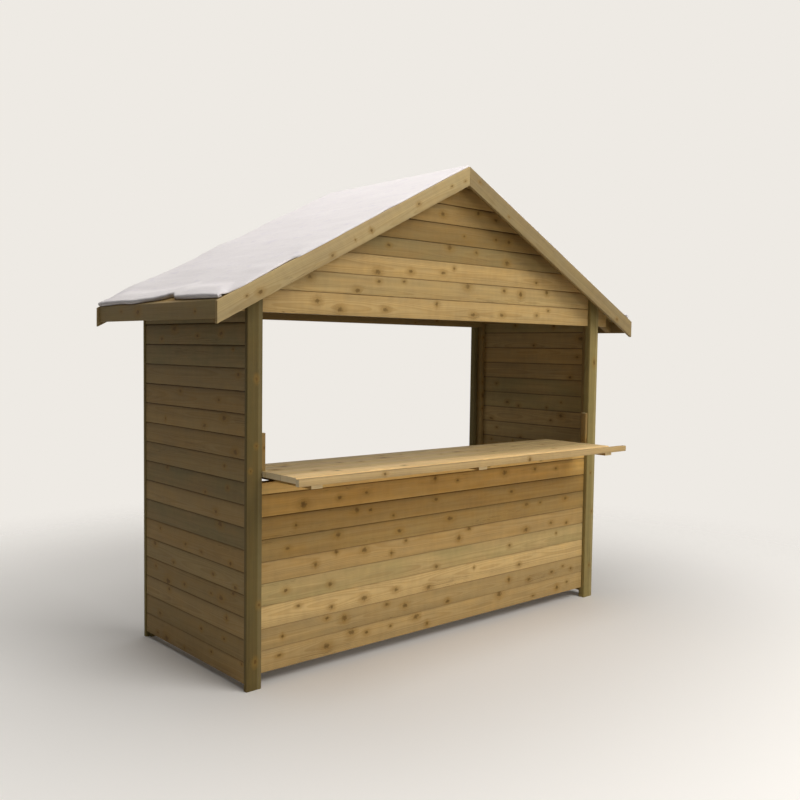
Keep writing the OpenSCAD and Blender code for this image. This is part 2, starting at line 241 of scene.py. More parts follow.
def pineFinish(slot):
    look, m, k = pineLooks[slot], pineMix, knotShape
    g = Graph(bpy.data.materials.new("pine_" + slot))
    grain = g.attribute("grain")
    along, across, deep = g.split(grain)
    knotAlong, knotAcross, knotSize = g.split(g.attribute("knot"))
    # mark: where a front post's painted highlight band begins, or how much painted shade a cladding joint
    # gets
    heartAcross, heartDeep, mark = g.split(g.attribute("heart"))
    bright, green, gold = g.split(g.attribute("tint"))

    # the reach from the nearest knot, in knot sizes, and how the grain parts round it
    fibre = g.noise(grain, k["fibre"], 3)
    uneven = g.noise(grain, k["uneven"], 1)
    draw = g.fraction(knotAlong * k["scatter"])
    long = k["long"][0] + draw * k["long"][1]
    wide = k["wide"][0] + draw * k["wide"][1]
    away = g.vector((along - knotAlong) * long, (across - knotAcross) * wide, 0.0)
    reach = g.length(away) / knotSize + (fibre - 0.5) * k["ragged"] + (uneven - 0.5) * k["lobed"]
    parting = math.e ** (reach * reach * -k["parting"])
    bent = across - (across - knotAcross) * parting * k["bend"]

    def pattern(name, shift=0.0):
        far, near, detail, rough = pinePatterns[name]
        return g.noise(g.vector(along * far, bent * near, deep * near + shift), 1.0, detail, rough)

    # growth rings: the distance from the heart of the tree, which wanders along the board
    age = g.length(g.vector(bent - heartAcross, deep - heartDeep, 0.0))
    age = age + (pattern("wander") - 0.5) * ringShape["wander"]
    turn = g.fraction(age * look["rings"])
    late = g.soft(turn, *ringShape["dark"]) * (1 - g.soft(turn, *ringShape["pale"]))

    # long streaks, blotches of the green treatment and fine fibres
    streak = pattern("streak")
    blotch = pattern("blotch")
    cloud = pattern("cloud", 5.0)
    hair = pattern("hair")
    figure = pattern("figure")
    wood = g.mix(late * m["ring"], look["pale"], look["ring"])
    wood = g.mix((gold + (cloud - 0.5) * m["goldCloud"]) * m["gold"], wood, look["gold"])
    wood = g.mix((green + m["leastGreen"]) * g.soft(blotch, *m["greenBlotch"]), wood, look["green"])
    # painted highlight: a paler band along the right edge of each front post, for light on its rounded edge
    if slot == "post_timber":
        band = g.soft(across - mark, -m["edgeHighlightSoft"], m["edgeHighlightSoft"])
        wood = g.mix(band * m["edgeHighlight"], wood, pineMarks["edgeHighlight"])
    shade = 1 + (streak - 0.5) * (look["streak"] * 2) + (blotch - 0.5) * m["blotch"]
    shade = shade + (cloud - 0.5) * m["cloud"] + (hair - 0.5) * m["hair"] + (figure - 0.5) * m["figure"]
    wood = wood * (shade * (1 + bright * m["bright"]))

    # knots, from a wide amber halo to a dark core, some of them smeared across the board
    core = 1 - g.soft(reach, *k["core"])
    eye = g.mix(g.soft(reach, *k["rim"]), pineMarks["core"], pineMarks["bark"])
    eye = g.mix(g.soft(fibre, *k["eye"]) * k["eyeMix"], eye, pineMarks["bark"])
    smear = abs(along - knotAlong) / knotSize + (streak - 0.5) * k["smearRagged"]
    smear = 1 - g.soft(smear, *k["smear"])
    smear = smear * (1 - g.soft(abs(across - knotAcross), *k["smearWide"])) * g.soft(draw, *k["smeared"])
    halo = (1 - g.soft(reach, *k["halo"])) * k["haloMix"]
    wood = g.mix(halo + smear * k["smearMix"], wood, pineMarks["halo"])
    wood = g.mix(core * (k["solid"][0] + cloud * k["solid"][1]), wood, eye)

    # fine splits along the grain, in places
    s = splitShape
    where = g.noise(g.vector(*(way * often for way, often in zip((along, across, deep), s["place"]))), 1.0, 1)
    split = (1 - g.soft(abs(pattern("split") - 0.5), 0.0, s["wide"])) * g.soft(where, *s["spread"])
    wood = g.mix(split * m["split"], wood, pineMarks["split"])
    # painted shade at the cladding's joints
    if slot == "cladding":
        wood = paintJointShade(g, wood, across, deep, blotch, mark)
    # sawn ends: pale end grain, made paler on counter planks and frame timber as painted light on shaded ends
    wood = g.mix(g.soft(knotAlong, sawnEnd - 9, sawnEnd - 8) * m["sawnEnd"], wood, look["end"])

    r = pineRelief
    height = hair * r["hair"] + streak * r["streak"] - late * r["ring"] - split * r["split"]
    height = height + core * r["knot"]
    return g.finish({"Base Color": wood, "Roughness": look["rough"] + (hair - 0.5) * m["sheen"],
                     "Specular IOR Level": m["specular"],
                     "Normal": g.bump(height, look["relief"], r["tall"])})


# Boards: each is lofted along its grain, and many make one mesh
boardShape = {"ease": 0.0008, "station": 0.3, "nearEnd": 0.02, "sharp": math.radians(32),
              "shift": (0, 40), "heartAcross": (-0.035, 0.035), "heartDeep": (0.03, 0.1)}
knotHabit = {"first": (0.02, 0.3), "gap": (0.18, 0.6), "closest": 0.09, "size": (0.004, 0.009),
             "growth": (1, 1, 1, 1.5), "margin": 0.02}


def ringShares(begin, stop, knots):
    # shares of a board's length where it has a ring of corners: midway between two knots, and evenly
    middles = [(a[0] + b[0]) / 2 for a, b in zip(knots, knots[1:])]
    even = max(2, math.ceil(abs(stop - begin) / boardShape["station"]))
    shares = [(m - begin) / (stop - begin) for m in middles] + [i / even for i in range(1, even)]
    edge = boardShape["nearEnd"]
    return sorted({round(t, 4) for t in shares if edge < t < 1 - edge})


class Stack:
    def __init__(self, seed):
        self.pick = random.Random(seed)
        self.points = []
        self.faces = []
        self.data = {"grain": [], "heart": [], "tint": [], "knot": []}

    def loft(self, rings, grain, heart, tint, knots, shift):
        # rings and grain: stations x corners x 3; knots: (along, across, radius) in the board's own grain;
        # shift: how far along the tree the board was cut, so that no two boards look the same
        rings, grain = np.array(rings), np.array(grain) + (shift, 0, 0)
        knots = [(along + shift, across, radius) for along, across, radius in knots]
        steps, corners = rings.shape[:2]
        middle = rings.mean(1)
        turn = rings[steps // 2] - middle[steps // 2]
        if np.cross(turn, np.roll(turn, -1, 0)).sum(0) @ (middle[-1] - middle[0]) < 0:
            rings = rings[:, ::-1]
            grain = grain[:, ::-1]
        start = len(self.points)
        self.points += rings.reshape(-1, 3).tolist()
        self.data["grain"] += grain.reshape(-1, 3).tolist()
        self.data["heart"] += [heart] * (steps * corners)
        self.data["tint"] += [tint] * (steps * corners)
        places = np.array([knot[0] for knot in knots]) if knots else None
        for i in range(steps - 1):
            here = grain[i:i + 2, :, 0].mean()
            knot = knots[int(np.abs(places - here).argmin())] if knots else (here + 9, 0.0, 0.01)
            for j in range(corners):
                k = (j + 1) % corners
                ring = start + i * corners
                self.faces.append((ring + j, ring + k, ring + corners + k, ring + corners + j))
                self.data["knot"].append(knot)
        for i, order in ((0, -1), (steps - 1, 1)):
            self.faces.append([start + i * corners + j for j in range(corners)][::order])
            self.data["knot"].append((sawnEnd, 0.0, 0.01))

    def board(self, ways, section, ends, tint, knots=(), bow=0.0, heart=None):
        # ways: origin, along, up, out; section: (up, out) corners; ends: begin and end for each corner
        origin, along, up, out = (np.array(way, float) for way in ways)
        section = np.array(section, float)
        begin, stop = (np.array([end(*corner) for corner in section]) for end in ends)
        shift = self.pick.uniform(*boardShape["shift"])
        knots = sorted(knots)
        ease = boardShape["ease"]
        nip = ease / abs(stop.mean() - begin.mean())
        lowest, highest = section.min(0), section.max(0)
        middle = (lowest + highest) / 2
        small = middle + (section - middle) * (1 - 2 * ease / (highest - lowest))
        wave = [self.pick.uniform(-bow, bow) for _ in range(4)]
        shares = [nip, *ringShares(begin.mean(), stop.mean(), knots), 1 - nip]
        rings = []
        grain = []
        for t, shape in [(0, small)] + [(share, section) for share in shares] + [(1, small)]:
            reach = begin + (stop - begin) * t
            lift, sway = (sum(w * math.sin((i + 1) * math.pi * t) for i, w in enumerate(part))
                          for part in (wave[:2], wave[2:]))
            rings.append(origin + np.outer(reach, along) + np.outer(shape[:, 0] + sway * 0.5, up)
                         + np.outer(shape[:, 1] + lift, out))
            grain.append(np.stack([reach, shape[:, 0], shape[:, 1]], 1))
        self.loft(rings, grain, heart or self.heart(), tint, knots, shift)

    def heart(self, mark=noBand):
        # where the tree's heart lies from the middle of a board, and the mark that its finish reads
        pick, b = self.pick, boardShape
        return pick.uniform(*b["heartAcross"]), pick.choice((-1, 1)) * pick.uniform(*b["heartDeep"]), mark

    def knots(self, begin, stop, half, thick=1.0):
        # small knots at random along a board, each at most half from its middle
        habit = knotHabit
        found = []
        place = begin + self.pick.uniform(*habit["first"])
        gap = self.pick.uniform(*habit["gap"])
        while place < stop - habit["margin"]:
            size = self.pick.uniform(*habit["size"]) * self.pick.choice(habit["growth"]) * thick
            found.append((place, self.pick.uniform(-half, half), size))
            place += habit["closest"] + self.pick.expovariate(1 / gap)
        return found

    def make(self, name, slot, node):
        mesh = bpy.data.meshes.new(name)
        mesh.from_pydata(self.points, [], self.faces)
        for key, rows in self.data.items():
            layer = mesh.attributes.new(key, "FLOAT_VECTOR", "FACE" if key == "knot" else "POINT")
            layer.data.foreach_set("vector", np.array(rows, np.float32).ravel())
        mesh.materials.append(finishes[slot])
        mesh.polygons.foreach_set("use_smooth", [True] * len(mesh.polygons))
        mesh.set_sharp_from_angle(angle=boardShape["sharp"])
        settle(linked(name, mesh), slot, node)


def linked(name, data):
    made = bpy.data.objects.new(name, data)
    bpy.context.scene.collection.objects.link(made)
    return made


def settle(made, slot, *nodes):
    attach(made, "root")
    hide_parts(*nodes)


finishes = {slot: pineFinish(slot) for slot in pineLooks}
print("finishes made")


# Sizes that the boxes of the nodes give
def low(node):
    return np.array(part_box(node)[0])


def high(node):
    return np.array(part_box(node)[1])


right, upward, inward = np.array([1.0, 0, 0]), np.array([0, 0, 1.0]), np.array([0, 1.0, 0])
frontFace = low("front_panel_boards")[1]
rearFace = high("rear_gable_boards")[1]
boardThick = high("front_panel_boards")[1] - frontFace
postFront = low("front_right_post")[1]
postOuter = high("front_right_post")[0]
postInner = high("front_panel_boards")[0]
headHeight = low("front_gable_boards")[2]
wallOuter = high("right_wall_boards")[0]
wallInner = low("right_wall_boards")[0]
frameInner = low("right_wall_top_rail")[0]
seatHeight = high("right_wall_boards")[2]

roof = {"pitch": math.radians(27.1), "boardThick": 0.018, "rafterDeep": 0.063}
ridgeHeight = high("right_roof_boards")[2]
roofFront = low("front_right_barge")[1]
roofRear = high("rear_right_barge")[1]
eaveReach = high("front_right_barge")[0]
fasciaOuter = high("right_fascia")[0]
fasciaInner = high("right_roof_boards")[0]
slope, rise, run = math.tan(roof["pitch"]), math.sin(roof["pitch"]), math.cos(roof["pitch"])
boardsPlumb = roof["boardThick"] / run
rafterPlumb = roof["rafterDeep"] / run


def roofLine(x):
    return ridgeHeight - slope * abs(x)


def rounded(corners, cuts):
    # each corner of an outline becomes three points of a small arc, the middle one made of these
    # shares of both ends and of the corner
    ends, tip = 0.293, 0.414
    most = 0.45  # the most of a side that a corner may take
    corners = np.array(corners, float)
    cuts = cuts if isinstance(cuts, list) else [cuts] * len(corners)
    out = []
    for cut, before, here, after in zip(cuts, np.roll(corners, 1, 0), corners, np.roll(corners, -1, 0)):
        a = here + (before - here) * min(cut / np.linalg.norm(before - here), most)
        b = here + (after - here) * min(cut / np.linalg.norm(after - here), most)
        out += [a, (a + b) * ends + here * tip, b]
    return np.array(out)


def square(wide, thick, cut):
    # a board's section, its middle at the origin
    x, y = wide / 2, thick / 2
    return rounded([(-x, -y), (x, -y), (x, y), (-x, y)], cut)


def straight(begin, stop):
    return (lambda v, w: begin), (lambda v, w: stop)


# Cladding: "plain" is how far from a board's edges its face may bend; the joint range is painted shade
cladding = {"cover": 0.115, "scoopDeep": 0.008, "scoopHigh": 0.014, "scoopSteps": 5, "tongue": 0.0085,
            "slack": 0.0008, "play": 0.0012, "lipGap": 0.0005, "lipEase": 0.0012, "ease": 0.0008,
            "fine": 0.0006, "bow": 0.0006, "plain": (0.01, 0.016), "joint": (0.4, 0.9), "knotReach": 0.045,
            "uneven": 0.06, "bright": (-0.3, 0.25), "green": (0, 0.1, 0.3, 0.8), "gold": (0, 0.6)}


def shiplap(first, cover, top, kinks):
    # section of a board from its lower edge: a lip in front, a scooped upper edge, a tongue behind
    c = cladding
    thick, ease, fine, deep = boardThick, c["ease"], c["fine"], c["scoopDeep"]
    lipBack = deep - c["lipGap"]
    foot = 0.0 if first else c["tongue"] + c["slack"]
    peak = cover + c["tongue"]
    points = [(c["lipEase"], 0.0)] + [(z, 0.0) for z in kinks] + [(cover - c["scoopHigh"], 0.0)]
    for i in range(1, c["scoopSteps"] + 1):
        turn = math.radians(90 * i / c["scoopSteps"])
        points.append((cover - c["scoopHigh"] * (1 - math.sin(turn)), -deep * (1 - math.cos(turn))))
    points += [(peak - fine, -deep), (peak, -deep - fine), (peak, -thick + ease), (peak - ease, -thick)]
    points += [(z, -thick) for z in reversed(kinks)]
    points += [(foot + ease, -thick), (foot, -thick + ease), (foot, -lipBack), (fine / 2, -lipBack)]
    points += [(0.0, -lipBack + fine), (0.0, -c["lipEase"]), (c["lipEase"] / 3, -c["lipEase"] / 3)]
    points = np.array(points)
    points[:, 0] = np.minimum(points[:, 0], top) - cover / 2
    return points


def cladWall(stack, ways, bottom, top, ends, tints, knotsAt=None, kinks=(), covers=(), joints=()):
    # rows of boards from bottom to top; ends gives both ends of a board at a height, and the joint shades say
    # how much painted shade the joint above each row gets
    c = cladding
    origin, along, up, out = ways
    z = bottom
    row = 0
    while z < top - 0.001:
        cover = covers[row] if row < len(covers) else c["cover"]
        joint = joints[row] if row < len(joints) else stack.pick.uniform(*c["joint"])
        middle = z + cover / 2
        bends = [kink - z for kink in kinks if c["plain"][0] < kink - z < cover - c["plain"][1]]
        section = shiplap(row == 0, cover, top - z, bends)
        cuts = [lambda v, w, m=middle, end=end: ends(m + v)[end] for end in (0, 1)]
        if knotsAt and row in knotsAt:
            knots = [(x, height - cover / 2, size) for x, height, size in knotsAt[row]]
        else:
            knots = stack.knots(*ends(middle), c["knotReach"])
        bright, green, gold = tints[row % len(tints)]
        tint = (bright + stack.pick.uniform(-c["uneven"], c["uneven"]), green, gold)
        heart = stack.heart(joint)
        stack.board((origin + up * middle, along, up, out), section, cuts, tint, knots, c["bow"], heart)
        z += cover
        row += 1


def chance(stack, count, dim=0.0):
    # tints for boards that the photo doesn't show one by one
    pick, c = stack.pick, cladding
    # dim is painted shade laid over all these boards
    return [(pick.uniform(*c["bright"]) + dim, pick.choice(c["green"]), pick.uniform(*c["gold"]))
            for _ in range(count)]


# Lower front: tints from the floor upwards, and the knots that stand out, as (x, height, radius)
frontPanel = {
    "gap": low("front_panel_boards")[2],
    "top": high("front_panel_boards")[2],
    "covers": (0.117, 0.113, 0.117, 0.119, 0.113, 0.116, 0.117, 0.117),
    # their brightness also holds painted light and shade: the top row is brightened in the counter's shadow
    "tints": [(-0.3, 0.0, 0.2), (-0.45, 0.1, 0.15), (0.6, 0.0, 0.0), (0.45, 0.7, 0.0), (-0.3, 0.0, 0.5),
              (-0.5, 0.35, 1.1), (-0.65, 0.2, 1.25), (0.4, 0.1, 1.3), (2.2, 0.3, 1.0)],
    "joints": (0.15, 0.22, 0.2, 0.3, 0.35, 0.75, 0.85, 0.9),
    "knots": {
        0: [(-1.22, 0.07, 0.007), (-0.91, 0.054, 0.012), (-0.74, 0.095, 0.012), (-0.63, 0.072, 0.008),
            (-0.45, 0.074, 0.006), (-0.25, 0.092, 0.011), (-0.16, 0.031, 0.008), (0.48, 0.1, 0.013),
            (0.82, 0.03, 0.006), (1.07, 0.046, 0.009), (1.18, 0.066, 0.007)],
        1: [(-1.2, 0.05, 0.006), (-0.91, 0.09, 0.007), (-0.79, 0.067, 0.012), (-0.48, 0.09, 0.008),
            (-0.34, 0.057, 0.011), (0.01, 0.02, 0.009), (0.57, 0.065, 0.009), (0.77, 0.033, 0.009),
            (1.01, 0.046, 0.008), (1.13, 0.068, 0.006), (1.22, 0.037, 0.007)],
        2: [(-1.1, 0.08, 0.007), (-0.88, 0.034, 0.008), (-0.65, 0.041, 0.011), (-0.41, 0.05, 0.009),
            (-0.15, 0.021, 0.01), (0.24, 0.08, 0.005), (0.67, 0.037, 0.008)],
        3: [(-1.18, 0.06, 0.008), (-0.89, 0.047, 0.009), (-0.09, 0.02, 0.008), (0.57, 0.059, 0.007),
            (1.05, 0.08, 0.005)],
        4: [(-0.99, 0.051, 0.008), (-0.85, 0.1, 0.008), (-0.65, 0.082, 0.011), (-0.45, 0.035, 0.007),
            (-0.34, 0.093, 0.007), (0.1, 0.053, 0.01), (0.19, 0.1, 0.009), (0.73, 0.025, 0.011),
            (0.99, 0.041, 0.008), (1.16, 0.02, 0.007)],
        5: [(-1.17, 0.05, 0.007), (-0.84, 0.08, 0.01), (-0.39, 0.045, 0.009), (0.02, 0.07, 0.011),
            (0.73, 0.081, 0.01), (0.87, 0.08, 0.007), (1.14, 0.082, 0.008)],
        6: [(-1.12, 0.05, 0.006), (-0.71, 0.086, 0.01), (-0.61, 0.077, 0.007), (-0.44, 0.027, 0.007),
            (-0.1, 0.084, 0.008), (0.58, 0.066, 0.009)],
        7: [(-1.07, 0.038, 0.013), (-0.83, 0.051, 0.008), (-0.64, 0.061, 0.007), (-0.11, 0.095, 0.009),
            (0.08, 0.066, 0.006), (0.51, 0.08, 0.012), (0.81, 0.079, 0.008), (1.03, 0.066, 0.006)],
    },
}


def makeFrontPanel():
    stack = Stack(seed=11)
    f = frontPanel
    reach = postInner - cladding["play"]
    cladWall(stack, (inward * frontFace, right, upward, -inward), f["gap"], f["top"],
             lambda z: (-reach, reach), f["tints"], f["knots"], covers=f["covers"], joints=f["joints"])
    stack.make("frontPanelShiplap", "cladding", "front_panel_boards")


# Side walls: from rebate to rebate of the posts, and between the gables above the head of the opening
# dim darkens each wall's boards, painted shade, more on the left wall than on the right
sideWall = {"gap": low("right_wall_boards")[2], "tints": 18, "dim": {-1: -1.2, 1: -0.5},
            "notch": (0.0005, 0.0001)}


def makeSideWall(side, word):
    stack = Stack(seed=20 + side)
    play = cladding["play"]
    below, above = sideWall["notch"]

    def ends(z):
        back = 0 if z < headHeight else boardThick
        return frontFace + back + play, rearFace - back - play

    cladWall(stack, (right * side * wallOuter, inward, upward, right * side), sideWall["gap"], seatHeight,
             ends, chance(stack, sideWall["tints"], sideWall["dim"][side]),
             kinks=(headHeight - below, headHeight + above))
    stack.make(word + "WallShiplap", "cladding", word + "_wall_boards")


# Gables: the boards stop under the roof, and the lowest ones are cut plumb outside the posts
gable = {
    "ear": high("front_gable_boards")[0],
    "earEase": 0.0004, "roofGap": 0.0006, "topGap": 0.002, "rearTints": 8,
    "covers": (0.119, 0.110, 0.116, 0.108, 0.117),
    # the fourth row and those above are darker, partly greener wood and partly painted shade under the
    # overhang
    "tints": [(0.26, 0.0, 0.2), (0.24, 0.2, 0.1), (0.34, 0.0, 0.3), (-0.7, 0.6, 0.6), (-1.1, 0.3, 1.0),
              (-0.5, 0.2, 0.8), (-0.2, 0.1, 0.8), (-0.1, 0.1, 0.8)],
    "joints": (0.3, 0.4, 0.3, 0.7, 0.8, 0.9, 0.9),
    "knots": {
        0: [(-1.35, 0.05, 0.006), (-0.99, 0.07, 0.01), (-0.84, 0.03, 0.011), (-0.52, 0.043, 0.01),
            (-0.12, 0.09, 0.008), (0.19, 0.037, 0.01), (0.45, 0.046, 0.009), (0.79, 0.053, 0.008),
            (0.91, 0.09, 0.006), (1.36, 0.06, 0.006)],
        1: [(-1.04, 0.076, 0.009), (-0.72, 0.02, 0.01), (-0.57, 0.078, 0.007), (-0.38, 0.09, 0.006),
            (0.14, 0.09, 0.013), (0.47, 0.08, 0.008), (0.63, 0.064, 0.011), (0.89, 0.09, 0.009)],
        2: [(-0.9, 0.081, 0.009), (-0.58, 0.02, 0.011), (-0.33, 0.039, 0.009), (-0.07, 0.048, 0.008),
            (0.02, 0.08, 0.006), (0.78, 0.039, 0.007)],
        3: [(-0.5, 0.06, 0.007), (-0.02, 0.09, 0.012), (0.21, 0.075, 0.007), (0.49, 0.03, 0.011)],
        5: [(-0.08, 0.053, 0.01), (0.22, 0.09, 0.008), (0.38, 0.064, 0.008)],
    },
}


def makeGable(face, where):
    stack = Stack(seed=31 + face)
    under = ridgeHeight - boardsPlumb
    ear = gable["ear"] - gable["earEase"]

    def ends(z):
        reach = max(gable["earEase"], min(ear, (under - z) / slope - gable["roofGap"]))
        return -reach, reach

    plane = frontFace if face < 0 else rearFace
    tints = gable["tints"] if face < 0 else chance(stack, gable["rearTints"])
    placed = {key: gable[key] for key in ("covers", "joints")} if face < 0 else {}
    cladWall(stack, (inward * plane, right, upward, inward * face), headHeight, under - gable["topGap"], ends,
             tints, gable["knots"] if face < 0 else None, kinks=(under - slope * ear,), **placed)
    stack.make(where + "GableShiplap", "cladding", where + "_gable_boards")


# Corner posts: rebated for the side boards, and thinner at the top, where the gable boards pass behind
post = {"round": 0.004, "ease": 0.001, "fine": 0.0004, "slack": 0.0006, "seat": 0.0003, "footEase": 0.0008,
        "levels": (0.2, 0.4, 0.6, 0.8), "bandEdge": 0.0195, "knots": (0.1, 2.0, 0.03, 0.9),
        "shift": (0, 30), "heart": ((-0.03, 0.03), (-0.09, -0.05)),
        # the rear right post is darkened, painted shade, and the front left post is darker too
        "tints": {(-1, -1): (-1.6, 0.4, 1.0), (-1, 1): (0.1, 0.3, 0.0), (1, -1): (-0.5, 0.5, 0.2),
                  (1, 1): (-1.3, 0.4, 0.2)}}


def makePost(face, side, where, word):
    stack = Stack(seed=40 + face * 2 + side)
    outer = postFront if face < 0 else high("rear_right_post")[1]
    thick = high("front_right_post")[1] - postFront
    proud = frontFace - postFront
    middle = side * (postOuter + postInner) / 2
    wide = postOuter - postInner
    rebate = wallInner - abs(middle) - post["slack"]
    shelf = post["seat"] - proud
    ease = post["ease"]
    section = rounded([(-wide / 2, 0), (wide / 2, 0), (wide / 2, shelf), (rebate, shelf), (rebate, -thick),
                       (-wide / 2, -thick)], [post["round"], post["round"], ease, post["fine"], ease, ease])
    section = section * (side, 1)
    behind = section.copy()
    behind[:, 1] = np.maximum(behind[:, 1], -proud)
    small = section * (1 - 2 * post["footEase"] / wide)
    small[:, 1] -= post["footEase"]
    levels = [(0.0, small), (ease, section)] + [(headHeight * t, section) for t in post["levels"]]
    levels += [(headHeight, section), (headHeight, behind)]
    crown = ridgeHeight - boardsPlumb - post["fine"] - slope * np.abs(middle + behind[:, 0])
    rings = []
    grain = []
    for z, shape in levels + [(crown, behind)]:
        height = z + np.zeros(len(shape))
        rings.append(np.stack([middle + shape[:, 0], outer + face * shape[:, 1], height], 1))
        grain.append(np.stack([height, shape[:, 0], shape[:, 1]], 1))
    shift = stack.pick.uniform(*post["shift"])
    knots = stack.knots(*post["knots"])
    # the front posts get a paler band along their right edge, a painted highlight
    band = post["bandEdge"] if face < 0 else noBand
    heart = (*(stack.pick.uniform(*reach) for reach in post["heart"]), band)
    stack.loft(rings, grain, heart, post["tints"][(face, side)], knots, shift)
    stack.make(where + word.capitalize() + "PostTimber", "post_timber", where + "_" + word + "_post")


# Timber members that are straight and square
def solids(node):
    # lowest and highest corners of each separate solid of a node
    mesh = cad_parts[node].data
    keys = [tuple(round(c, 5) for c in v.co) for v in mesh.vertices]
    group = {key: key for key in keys}

    def root(key):
        while group[key] != key:
            key = group[key]
        return key

    for face in mesh.polygons:
        first = root(keys[face.vertices[0]])
        for v in face.vertices[1:]:
            group[root(keys[v])] = first
    found = {}
    for key in group:
        found.setdefault(root(key), []).append(key)
    return sorted((tuple(np.min(p, 0)), tuple(np.max(p, 0))) for p in found.values())


member = {"round": 0.002, "knotMargin": 0.012, "leastReach": 0.004, "knotSize": 0.9, "uneven": (-0.15, 0.1),
          "axes": {"x": (right, upward, -inward), "y": (inward, upward, right),
                   "z": (upward, right, -inward)}}


def makeMembers(name, node, axis, seed, bright=0.0, green=0.3, gold=0.3):
    # one piece of timber for each solid of a node, its grain along the axis
    stack = Stack(seed)
    along, up, out = member["axes"][axis]
    for lowest, highest in solids(node):
        span = np.array(highest) - np.array(lowest)
        middle = (np.array(highest) + np.array(lowest)) / 2
        long, wide, thick = (abs(span @ way) for way in (along, up, out))
        reach = max(member["leastReach"], wide / 2 - member["knotMargin"])
        knots = stack.knots(-long / 2, long / 2, reach, member["knotSize"])
        tint = (bright + stack.pick.uniform(*member["uneven"]), green, gold)
        stack.board((middle, along, up, out), square(wide, thick, member["round"]),
                    straight(-long / 2, long / 2), tint, knots)
    stack.make(name, "frame_timber", node)


# Counter: planks with rounded upper edges, and a batten along their front edge
counter = {"planks": 4, "nosing": 0.005, "under": 0.002, "gap": 0.0006, "uneven": 0.003, "bow": 0.0004,
           "knotMargin": 0.02, "heart": 0.02, "hearts": (-0.09, -0.11, -0.13, -0.15),
           # the front plank is brightened, a painted highlight on the front edge, and the batten's face
           # darkened, painted shade
           "tints": [(1.9, 0.0, 0.1), (0.3, 0.3, 0.0), (0.05, 0.35, 0.0), (-0.05, 0.4, 0.0)],
           "knots": {0: [(-1.02, 0.03, 0.007), (-0.6, -0.02, 0.006), (0.75, 0.05, 0.006)],
                     1: [(-1.1, -0.03, 0.007), (0.3, 0.02, 0.006)]},
           "edgeTint": (-0.55, 0.0, 0.35), "edgeKnots": [(-0.8, 0.004, 0.006), (0.35, -0.006, 0.007)],
           "edgeEase": (0.0015, 0.003, 0.001), "edgeHeart": (0.03, -0.05, noBand)}


def makeCounter():
    stack = Stack(seed=52)
    c = counter
    lowest, highest = low("counter_top"), high("counter_top")
    wide = (highest[1] - lowest[1]) / c["planks"]
    thick = highest[2] - lowest[2]
    half = wide / 2 - c["gap"]
    section = square(2 * half, thick, [c["under"], c["under"], c["nosing"], c["nosing"]])
    for i in range(c["planks"]):
        middle = np.array([0, lowest[1] + (i + 0.5) * wide, (lowest[2] + highest[2]) / 2])
        begin = lowest[0] + stack.pick.uniform(0, c["uneven"])
        stop = highest[0] - stack.pick.uniform(0, c["uneven"])
        knots = c["knots"].get(i) or stack.knots(begin, stop, half - c["knotMargin"])
        heart = (stack.pick.uniform(-c["heart"], c["heart"]), c["hearts"][i], noBand)
        stack.board((middle, right, inward, upward), section, straight(begin, stop), c["tints"][i], knots,
                    bow=c["bow"], heart=heart)
    stack.make("counterPlanks", "counter_planks", "counter_top")


def makeCounterEdge():
    stack = Stack(seed=55)
    c = counter
    lowest, highest = low("counter_front_edge"), high("counter_front_edge")
    x, y = (highest[2] - lowest[2]) / 2, (highest[1] - lowest[1]) / 2
    middle = (lowest + highest) / 2 * (0, 1, 1)
    under, lower, upper = c["edgeEase"]
    section = rounded([(-x, -y), (-x, y), (x, y), (x, -y)], [under, lower, c["nosing"], upper])
    stack.board((middle, right, upward, -inward), section, straight(lowest[0], highest[0]), c["edgeTint"],
                c["edgeKnots"], heart=c["edgeHeart"])
    stack.make("counterEdgeBatten", "counter_planks", "counter_front_edge")


# Roof: boards parallel to the ridge, with V-joints below, on rafters notched over the walls
lean = {side: (np.array([side * run, 0, -rise]), np.array([side * rise, 0, run])) for side in (-1, 1)}
ridgePoint = np.array([0, 0, ridgeHeight])
roofBoards = {"count": 16, "groove": 0.003, "gap": 0.0006, "ease": 0.0008, "knotReach": 0.045,
              "bright": (-0.3, 0.15), "green": (0.1, 0.3, 0.6), "gold": (0, 0.5)}


def makeRoofBoards(side, word):
    stack = Stack(seed=60 + side)
    b = roofBoards
    down, out = lean[side]
    thick = roof["boardThick"]
    span = fasciaInner / run
    cover = span / b["count"]
    lowest, highest = low("right_roof_boards")[1], high("right_roof_boards")[1]
    for i in range(b["count"]):
        top, foot = i * cover + b["gap"], (i + 1) * cover - b["gap"]
        ease, groove = b["ease"], b["groove"]
        section = np.array([(top, -ease), (top + ease, 0), (foot - ease, 0), (foot, -ease),
                            (foot, groove - thick), (foot - groove, -thick), (top + groove, -thick),
                            (top, groove - thick)])
        if i == 0:  # cut plumb at the ridge
            section[:, 0] = np.maximum(section[:, 0], -section[:, 1] * slope)
        if i == b["count"] - 1:  # cut plumb behind the fascia
            section[3:5, 0] = span - section[3:5, 1] * slope
        middle = (top + foot) / 2
        section[:, 0] -= middle
        pick = stack.pick
        tint = (pick.uniform(*b["bright"]), pick.choice(b["green"]), pick.uniform(*b["gold"]))
        knots = stack.knots(lowest, highest, b["knotReach"])
        stack.board((ridgePoint + down * middle, inward, down, out), section, straight(lowest, highest),
                    tint, knots)
    stack.make(word + "RoofBoarding", "roof_boards", word + "_roof_boards")


# Rafters: stations from the ridge board to the fascia, the lower edge lifted to the seat on the wall
rafter = {"ease": 0.035, "between": (0.4, 0.8), "knots": (0.05, 1.75, 0.02, 0.9), "knotRow": -0.05,
          "heart": (0.04, -0.05, noBand), "bright": (-0.2, 0.1), "green": 0.3, "gold": 0.3,
          "shift": (0, 30)}


